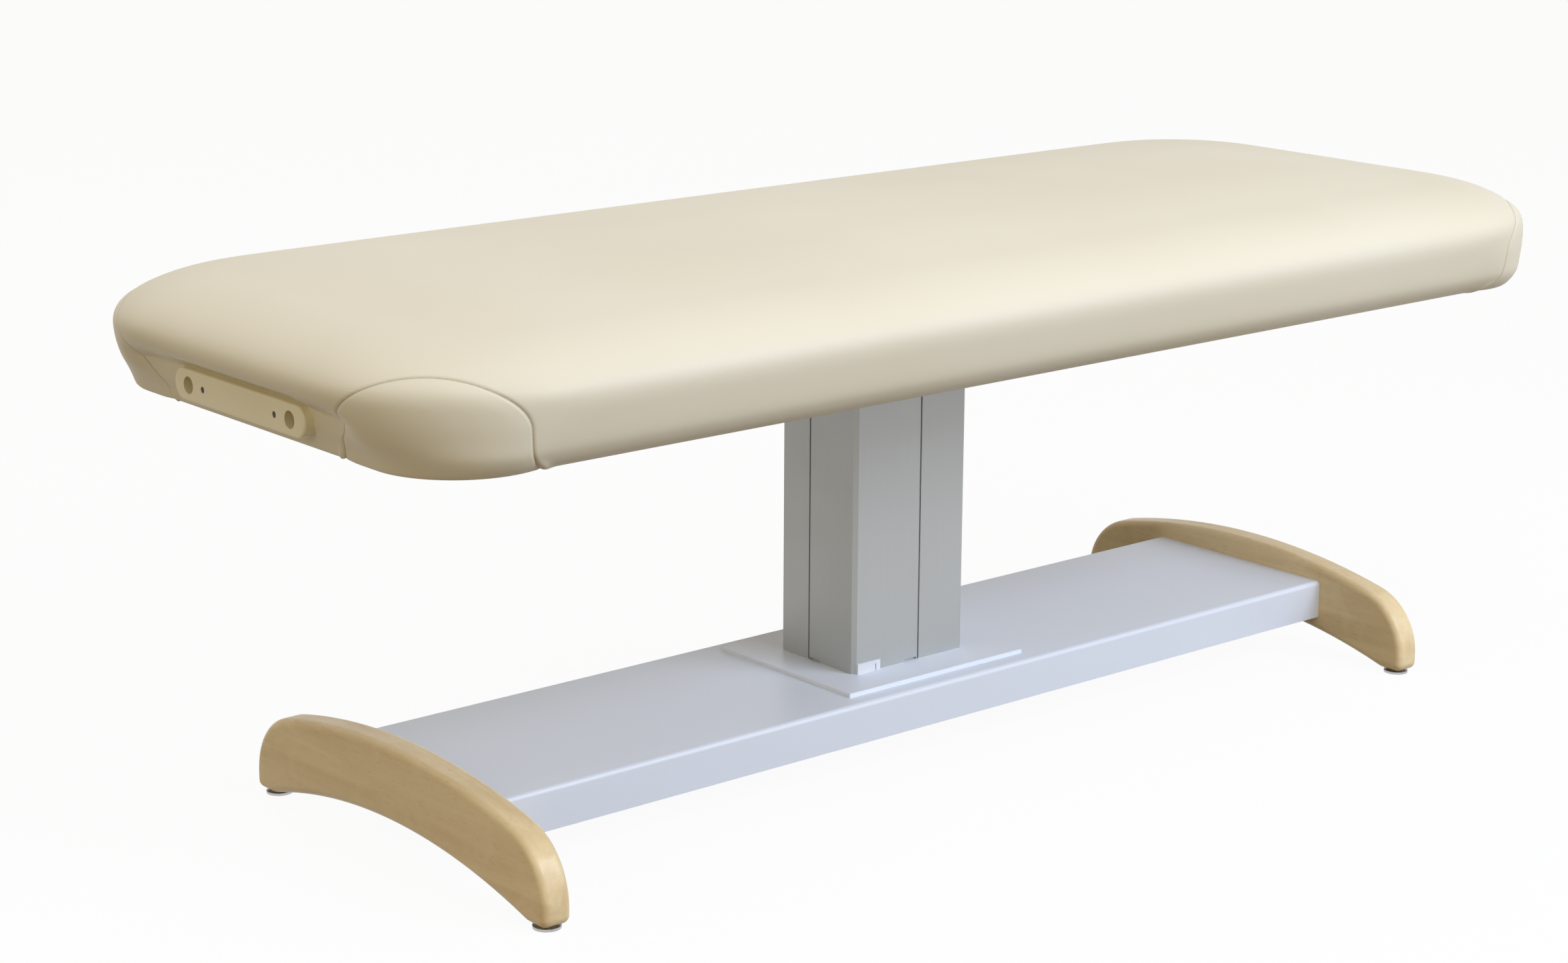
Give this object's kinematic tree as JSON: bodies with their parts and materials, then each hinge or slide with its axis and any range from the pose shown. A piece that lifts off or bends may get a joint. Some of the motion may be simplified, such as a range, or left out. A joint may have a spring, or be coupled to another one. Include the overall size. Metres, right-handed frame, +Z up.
{
  "type": "electric massage table",
  "caption": "Flat padded massage table top on a telescopic electric lift column, with a steel base beam, arched wooden feet, levelling glides and a face-cradle outlet at the head end.",
  "frame": {"origin": "on the floor under the middle of the top", "axes": "+X along the length to the foot end, -X the head end with the face-cradle outlet, +Z up"},
  "size_m": [1.854, 0.737, 0.6665],
  "materials": {
    "vinyl": "satin",
    "foam": "matte",
    "maple": "satin",
    "plywood": "matte",
    "white_coat": "satin",
    "black_coat": "matte",
    "anodised": "satin",
    "zinc": "satin",
    "bright_glide": "polished",
    "cream_plastic": "satin",
    "white_plastic": "satin",
    "black_plastic": "matte",
    "circuit_board": "satin",
    "motor_steel": "satin",
    "cable_rubber": "matte"
  },
  "bodies": {
    "base": {"outer_column": "anodised", "upper_guide_ring": "black_plastic", "column_clip": "white_plastic", "column_base_plate": "white_coat", "plate_nuts": "zinc", "column_screws": "zinc", "gearbox_screws": "zinc", "lift_gearbox": "motor_steel", "lift_motor": "motor_steel", "base_beam": "white_coat", "beam_belly_cover": "white_coat", "belly_screws": "zinc", "beam_end_plate_head": "white_coat", "beam_end_plate_tail": "white_coat", "foot_bolts": "zinc", "foot_inserts": "zinc", "foot_head": "maple", "foot_tail": "maple", "glide_nuts": "zinc", "control_box": "black_plastic", "control_box_lid": "black_plastic", "control_board": "circuit_board", "mains_inlet": "black_plastic", "pedal_socket": "black_plastic", "motor_cable": "cable_rubber"},
    "top": {"vinyl_cover": "vinyl", "corner_panel_head_front": "vinyl", "corner_panel_head_back": "vinyl", "corner_panel_tail_front": "vinyl", "corner_panel_tail_back": "vinyl", "foam_core": "foam", "deck": "plywood", "side_rail_front": "plywood", "side_rail_back": "plywood", "end_rail_head": "plywood", "end_rail_tail": "plywood", "cradle_backing_block": "plywood", "corner_block_head_front": "plywood", "corner_block_head_back": "plywood", "corner_block_tail_front": "plywood", "corner_block_tail_back": "plywood", "cradle_outlet": "cream_plastic", "outlet_screws": "black_coat", "frame_tube_front": "black_coat", "frame_tube_back": "black_coat", "cross_tube_head": "black_coat", "cross_tube_tail": "black_coat", "column_top_plate": "black_coat", "top_plate_screws": "zinc", "frame_screws": "zinc", "inner_column": "anodised", "lower_guide_ring": "black_plastic", "push_tube": "zinc", "spindle_nut": "black_plastic"},
    "spindle": {"lift_spindle": "zinc"},
    "glide_head_front": {"glide_head_front": "bright_glide"},
    "glide_head_back": {"glide_head_back": "bright_glide"},
    "glide_tail_front": {"glide_tail_front": "bright_glide"},
    "glide_tail_back": {"glide_tail_back": "bright_glide"}
  },
  "joints": [
    {"name": "lift", "type": "slide", "parent": "base", "child": "top", "axis": [0, 0, 1], "range_m": [0, 0.3]},
    {"name": "spindle_turn", "type": "hinge", "parent": "base", "child": "spindle", "pos_m": [-0.036, 0, 0.3], "axis": [0, 0, 1], "range_deg": [0, 10800]},
    {"name": "level_head_front", "type": "slide", "parent": "base", "child": "glide_head_front", "axis": [0, 0, -1], "range_m": [0, 0.012]},
    {"name": "level_head_back", "type": "slide", "parent": "base", "child": "glide_head_back", "axis": [0, 0, -1], "range_m": [0, 0.012]},
    {"name": "level_tail_front", "type": "slide", "parent": "base", "child": "glide_tail_front", "axis": [0, 0, -1], "range_m": [0, 0.012]},
    {"name": "level_tail_back", "type": "slide", "parent": "base", "child": "glide_tail_back", "axis": [0, 0, -1], "range_m": [0, 0.012]}
  ],
  "couplings": [
    {"joint": "spindle_turn", "follows": "lift", "rad_per_m": 628.32}
  ]
}
